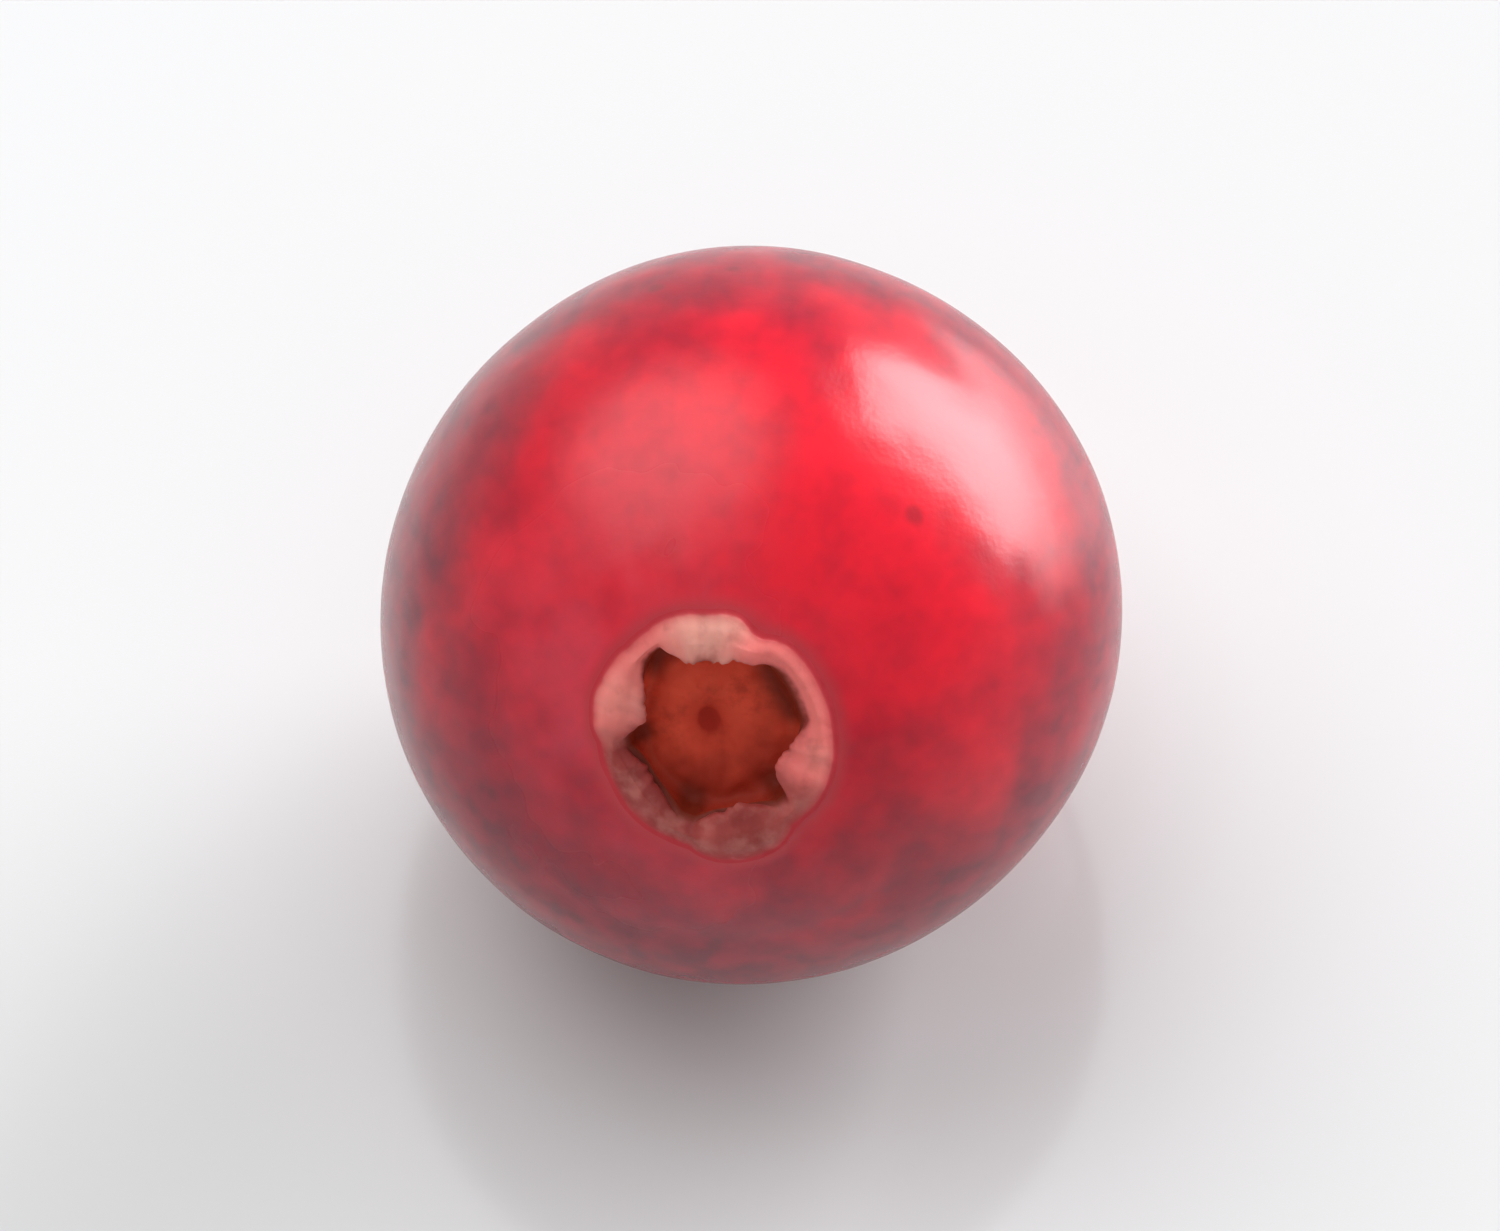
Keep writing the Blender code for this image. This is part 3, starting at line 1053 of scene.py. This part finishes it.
crusted = add(tree, "Bump", {
    "Height": pattern["crust"], "Strength": CRUST_STRENGTH, "Distance": CRUST_HEIGHT,
}, "Normal")
shader = add(tree, "BsdfPrincipled", {
    "Base Color": flesh, "Roughness": LOBE_ROUGHNESS, "IOR": FLESH_IOR,
    "Normal": crusted, "Specular IOR Level": LOBE_SHINE,
    "Subsurface Weight": 0.35, "Subsurface Radius": LOBE_SCATTER,
    "Subsurface Scale": LOBE_SCATTER_DEPTH,
}, "BSDF")
add(tree, "OutputMaterial", {"Surface": shader})
print("lobe nodes:", len(tree.nodes))

# %% [markdown]
# ## Scar tissue
#
# The basin, its disc and the stalk's scar are tissue that healed and dried to
# a thin cork. It is rust red where the berry's dye shows through, with painted
# shade in the creases. The basin is brighter towards its upper side, and clouds
# of about a millimetre break that up.

# %% Scar colours and patterns
RUST = linear("#FF5E42")
UMBER = linear("#BC3A26")
STYLE_SCAR = linear("#B02010")
CREASE_SHADE = linear("#7A2410")
STALK_CORK = linear("#8A4A38")

GRAIN = 0.45 * MM
CLOUD = 1.1 * MM
CLOUD_PUSH = 3.0 * MM

scar, tree = new_material("Scar tissue, healed and dried to cork")
place = add(tree, "TexCoord", None, "Object")
fact = {
    name: add(tree, "Attribute", None, output, attribute_name=name)
    for name, output in (("station", "Fac"), ("flap", "Fac"), ("growth", "Vector"))
}
pattern = {
    name: add(tree, "TexNoise", {
        "Vector": place, "Scale": 1 / size, "Detail": detail, "Roughness": rough,
    }, "Fac")
    for name, size, detail, rough in (("grain", GRAIN, 4.0, 0.6), ("clouds", CLOUD, 2.0, 0.5))
}
upwards = add(tree, "SeparateXYZ", {"Vector": fact["growth"]}, "Y")
cloudy = add(tree, "Math", {0: pattern["clouds"], 1: CLOUD_PUSH, 2: upwards}, 0,
             operation="MULTIPLY_ADD")
print("scar patterns:", ", ".join(pattern))

# %% [markdown]
# After the clouds and the grain come the style's scar in the middle and painted
# shade, over a little brown residue, in the crease at the foot of the wall. It
# is darkest where no lobe covers it.
# The stalk's scar is a paler cork.

# %% Paint the scars
LOW_SIDE, HIGH_SIDE = -0.4 * MM, 2.4 * MM
# Stations before the wall where the crease's painted shade starts and where it is full
CREASE_START, CREASE_FULL = 2.6, 0.6

cork = paint(tree, UMBER, RUST, cloudy, LOW_SIDE, HIGH_SIDE)
cork = paint(tree, cork, UMBER, pattern["grain"], 0.45, 0.75, 0.0, 0.6)
cork = paint(tree, cork, STYLE_SCAR, fact["station"], 0.6, 3.1, 0.9, 0.0)
crease_shade_mask = add(tree, "MapRange", {
    "Value": fact["station"], "From Min": WALL - CREASE_START,
    "From Max": WALL - CREASE_FULL, "To Min": 0.0, "To Max": 1.0,
}, "Result", interpolation_type="SMOOTHSTEP")
# Painted shade in the crease at the foot of the wall, darkest in the notches
cork = paint(tree, cork, CREASE_SHADE, fact["flap"], 0.0, 0.8, 0.9, 0.25, within=crease_shade_mask)
cork = paint(tree, cork, STALK_CORK, fact["station"], STEM_START, STEM_START + 1)
print("nodes up to the painted cork:", len(tree.nodes))

# %% [markdown]
# Cork is matt, with little shine even at a low angle, and its grain shows as
# relief too. Then the three finishes go onto the mesh, in the order of its
# slots.

# %% Roughen the scars
CORK_ROUGHNESS = 0.60
CORK_SHINE = 0.25
GRAIN_RELIEF = 0.06 * MM
GRAIN_STRENGTH = 0.5
CORK_SCATTER = (1.0, 0.3, 0.2)
CORK_SCATTER_DEPTH = 0.6 * MM

grained = add(tree, "Bump", {
    "Height": pattern["grain"], "Strength": GRAIN_STRENGTH, "Distance": GRAIN_RELIEF,
}, "Normal")
shader = add(tree, "BsdfPrincipled", {
    "Base Color": cork, "Roughness": CORK_ROUGHNESS, "IOR": FLESH_IOR,
    "Normal": grained, "Specular IOR Level": CORK_SHINE,
    "Subsurface Weight": 0.35, "Subsurface Radius": CORK_SCATTER,
    "Subsurface Scale": CORK_SCATTER_DEPTH,
}, "BSDF")
add(tree, "OutputMaterial", {"Surface": shader})
for material in (skin, lobe_skin, scar):
    fruit_mesh.materials.append(material)
print("finishes on the berry:", [slot.name for slot in fruit_mesh.materials])

# %% [markdown]
# ## The surface it lies on
#
# A white glazed board: nearly white, and glossy enough to show a faint, soft
# mirror image of the berry. It is far wider than the picture, so that it still
# meets the horizon when the camera goes low.

# %% Floor
FLOOR_WIDTH = 12.0
GLAZE_IOR = 1.5
GLAZE_ROUGHNESS = 0.12

half = FLOOR_WIDTH / 2
floor_mesh = bpy.data.meshes.new("white_board")
floor_mesh.from_pydata(
    [(-half, -half, 0), (half, -half, 0), (half, half, 0), (-half, half, 0)],
    [], [(0, 1, 2, 3)],
)
floor = bpy.data.objects.new("white_board", floor_mesh)
bpy.context.scene.collection.objects.link(floor)

glaze, tree = new_material("White glaze, fired smooth")
shader = add(tree, "BsdfPrincipled", {
    "Base Color": linear("#E4E4E3"), "Roughness": GLAZE_ROUGHNESS, "IOR": GLAZE_IOR,
}, "BSDF")
add(tree, "OutputMaterial", {"Surface": shader})
floor_mesh.materials.append(glaze)
print("board, metres across:", FLOOR_WIDTH)

# %% [markdown]
# ## Softbox
#
# The skin mirrors the studio, so the lights are placed by what the skin shows.
# A bright softbox stands behind the berry on the right, down to the board, and
# makes the bright slanted window. Its direction is the one that the skin
# mirrors to the camera where the window's middle is, and its long edge lies
# along the window's. Its size is given as if it hung one metre away.

# %% Hang the softbox
SOFTBOX_TOWARDS = Vector((0.767, 0.596, 0.240)).normalized()
SOFTBOX_ALONG = Vector((0.618, -0.474, -0.627))
SOFTBOX_WIDE, SOFTBOX_HIGH = 0.90, 0.60
SOFTBOX_DISTANCE = 1.5
SOFTBOX_RADIANCE = 10.0

towards = SOFTBOX_TOWARDS
along = (SOFTBOX_ALONG - towards * SOFTBOX_ALONG.dot(towards)).normalized()
facing = Matrix((along, towards.cross(along), towards)).transposed()
lamp_data = bpy.data.lights.new("low softbox", "AREA")
lamp_data.shape = "RECTANGLE"
lamp_data.size = SOFTBOX_WIDE * SOFTBOX_DISTANCE
lamp_data.size_y = SOFTBOX_HIGH * SOFTBOX_DISTANCE
lamp_data.energy = SOFTBOX_RADIANCE * math.pi * lamp_data.size * lamp_data.size_y
lamp_data.color = linear("#F9FAFD")[:3]
lamp = bpy.data.objects.new("low softbox", lamp_data)
lamp.matrix_world = Matrix.Translation(MIDDLE + towards * SOFTBOX_DISTANCE) @ facing.to_4x4()
bpy.context.scene.collection.objects.link(lamp)
print(f"softbox {lamp_data.size:.2f} by {lamp_data.size_y:.2f} m, {lamp_data.energy:.0f} W")

# %% [markdown]
# ## Room
#
# A wide white ceiling panel glows over the berry, behind on the left. It has no
# hard edge on the skin, so it is drawn in the world as a soft patch of sky. The
# walls are lit a little at the height of the board. The rest of the room is
# dim, which leaves the darker band between the panel's glow and the board's
# reflection.

# %% Light the room
PANEL_TOWARDS = Vector((-0.37, 0.445, 0.815)).normalized()
PANEL_EDGE, PANEL_CORE = math.cos(math.radians(38)), math.cos(math.radians(14))
PANEL_GLOW = 2.3
# Height, in a direction of length 1, where the walls' glow has faded
WALL_TOP = 0.30
WALL_GLOW, ROOM_GLOW = 0.76, 0.42

world = bpy.data.worlds.new("Dim studio")
bpy.context.scene.world = world
world.use_nodes = True
tree = world.node_tree
tree.nodes.clear()
direction = add(tree, "TexCoord", None, "Generated")
towards_panel = add(tree, "VectorMath", {0: direction, 1: PANEL_TOWARDS}, "Value",
                    operation="DOT_PRODUCT")
upwards = add(tree, "SeparateXYZ", {"Vector": direction}, "Z")
panel, walls = (
    add(tree, "MapRange", {
        "Value": drive, "From Min": low, "From Max": high,
        "To Min": first, "To Max": last,
    }, "Result", interpolation_type="SMOOTHSTEP")
    for drive, low, high, first, last in (
        (towards_panel, PANEL_EDGE, PANEL_CORE, 0.0, PANEL_GLOW),
        (upwards, 0.0, WALL_TOP, WALL_GLOW, ROOM_GLOW),
    )
)
glow = add(tree, "Math", {0: panel, 1: walls}, 0, operation="ADD")
sky = add(tree, "Background", {"Color": linear("#F9FAFC"), "Strength": glow}, "Background")
add(tree, "OutputWorld", {"Surface": sky})
print("brightest part of the room:", round(PANEL_GLOW + ROOM_GLOW, 2))

# %% [markdown]
# ## Camera
#
# The camera looks down at 60 degrees from about 30 cm, as the photographer did,
# through a longer lens, so that the one berry fills the picture.

# %% Camera
CAMERA_RISE = math.radians(60)
CAMERA_DISTANCE = 0.304
SENSOR_WIDTH = 36.0
PICTURE_WIDE, PICTURE_HIGH = 1500, 1231
BERRY_SHARE = 0.60

berry_pixels = BERRY_SHARE * PICTURE_HIGH
lens_pixels = berry_pixels * CAMERA_DISTANCE / WIDTH
camera_data = bpy.data.cameras.new("camera")
camera_data.sensor_width = SENSOR_WIDTH
camera_data.lens = SENSOR_WIDTH * lens_pixels / PICTURE_WIDE
camera_data.clip_start = 0.01
camera = bpy.data.objects.new("camera", camera_data)
away = Vector((0, -math.cos(CAMERA_RISE), math.sin(CAMERA_RISE)))
camera.location = MIDDLE + away * CAMERA_DISTANCE
camera.rotation_euler = away.to_track_quat("Z", "Y").to_euler()
bpy.context.scene.collection.objects.link(camera)
bpy.context.scene.camera = camera
bpy.context.scene.view_settings.view_transform = "Standard"
print(f"lens {camera_data.lens:.0f} mm at {CAMERA_DISTANCE / MM:.0f} mm")
